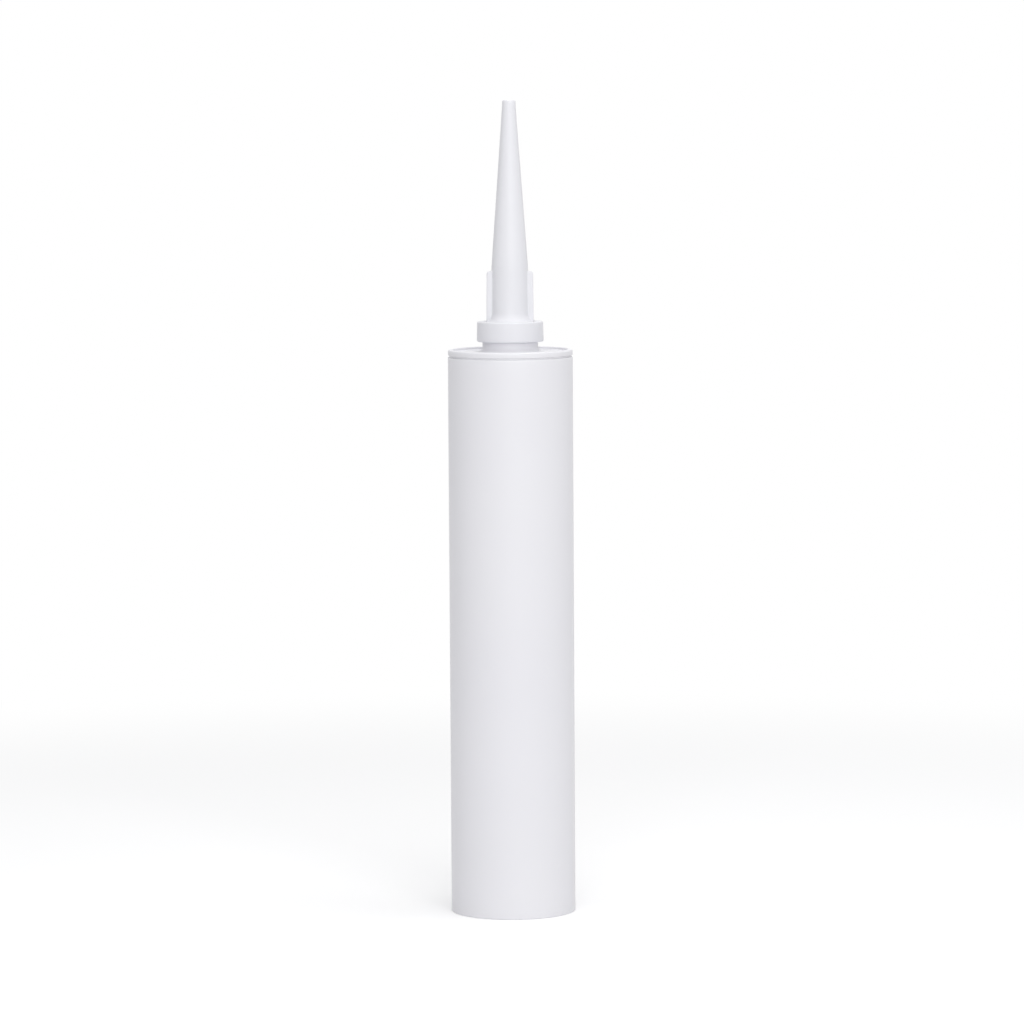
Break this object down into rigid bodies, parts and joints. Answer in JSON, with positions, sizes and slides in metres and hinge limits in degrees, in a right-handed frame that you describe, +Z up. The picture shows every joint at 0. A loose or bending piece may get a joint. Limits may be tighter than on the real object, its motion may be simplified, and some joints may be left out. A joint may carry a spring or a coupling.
{
  "type": "caulk tube",
  "caption": "Plain white sealant cartridge standing on its open end, with a screwed-on long conical nozzle, a sliding piston inside and a paste fill.",
  "frame": {"origin": "centre of the barrel's open lower end, on the plane it stands on", "axes": "+Z up the barrel's axis to the nozzle's tip; the nozzle's two wings point along +X and -X"},
  "size_m": [0.0494, 0.0494, 0.3228],
  "materials": {
    "barrel_plastic": "smooth satin white polyethylene",
    "nozzle_plastic": "smooth satin white polyethylene, very slightly translucent",
    "piston_plastic": "satin natural white polyethylene",
    "paste": "smooth moist white paste"
  },
  "bodies": {
    "barrel": {"barrel": "barrel_plastic", "sealant": "paste"},
    "piston": {"piston": "piston_plastic"},
    "nozzle": {"nozzle": "nozzle_plastic"}
  },
  "joints": [
    {"name": "piston_stroke", "type": "slide", "parent": "barrel", "child": "piston", "axis": [0, 0, 1], "range_m": [0, 0.181], "deforming": ["sealant"]},
    {"name": "nozzle_lift", "type": "slide", "parent": "barrel", "child": "nozzle", "axis": [0, 0, 1], "range_m": [0, 0.03]}
  ]
}
